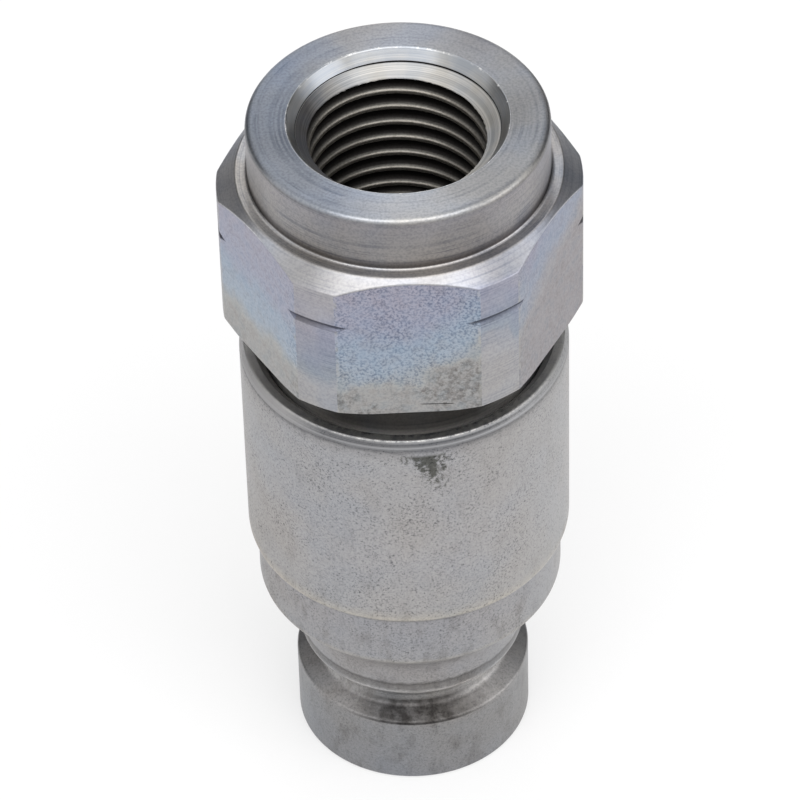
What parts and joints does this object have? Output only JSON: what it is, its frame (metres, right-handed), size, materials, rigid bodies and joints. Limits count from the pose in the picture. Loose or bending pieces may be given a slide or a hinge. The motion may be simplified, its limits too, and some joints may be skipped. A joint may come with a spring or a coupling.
{
  "type": "hydraulic quick coupling",
  "caption": "Flat-face hydraulic quick coupling, male half: grooved tip, stepped sleeve, hexagon adapter with threaded port, sprung poppet valve inside.",
  "frame": {"origin": "centre of the flat tip face, which the part stands on", "axes": "+Z along the coupling's axis from the tip to the port; a wrench flat faces -Y and a hexagon corner points along +X"},
  "size_m": [0.0238, 0.022, 0.0538],
  "materials": {
    "zinc_body": "zinc plated, matt grey",
    "passivated_adapter": "zinc plated, clear blue passivation",
    "valve_steel": "turned and plated",
    "spring_steel": "drawn wire",
    "seal_rubber": "moulded, matt black",
    "seal_plastic": "turned, matt"
  },
  "bodies": {
    "housing": {"nipple_body": "zinc_body", "port_adapter": "passivated_adapter", "adapter_o_ring": "seal_rubber", "adapter_backup_ring": "seal_plastic", "valve_guide": "valve_steel", "guide_snap_ring": "spring_steel", "valve_spring": "spring_steel"},
    "poppet": {"poppet_head": "valve_steel", "poppet_stem": "valve_steel", "poppet_o_ring": "seal_rubber", "poppet_backup_ring": "seal_plastic"}
  },
  "joints": [
    {"name": "poppet_slide", "type": "slide", "parent": "housing", "child": "poppet", "axis": [0, 0, 1], "range_m": [0, 0.007], "stiffness_N_per_m": 460, "springref_m": -0.0043, "deforming": ["valve_spring"]}
  ]
}
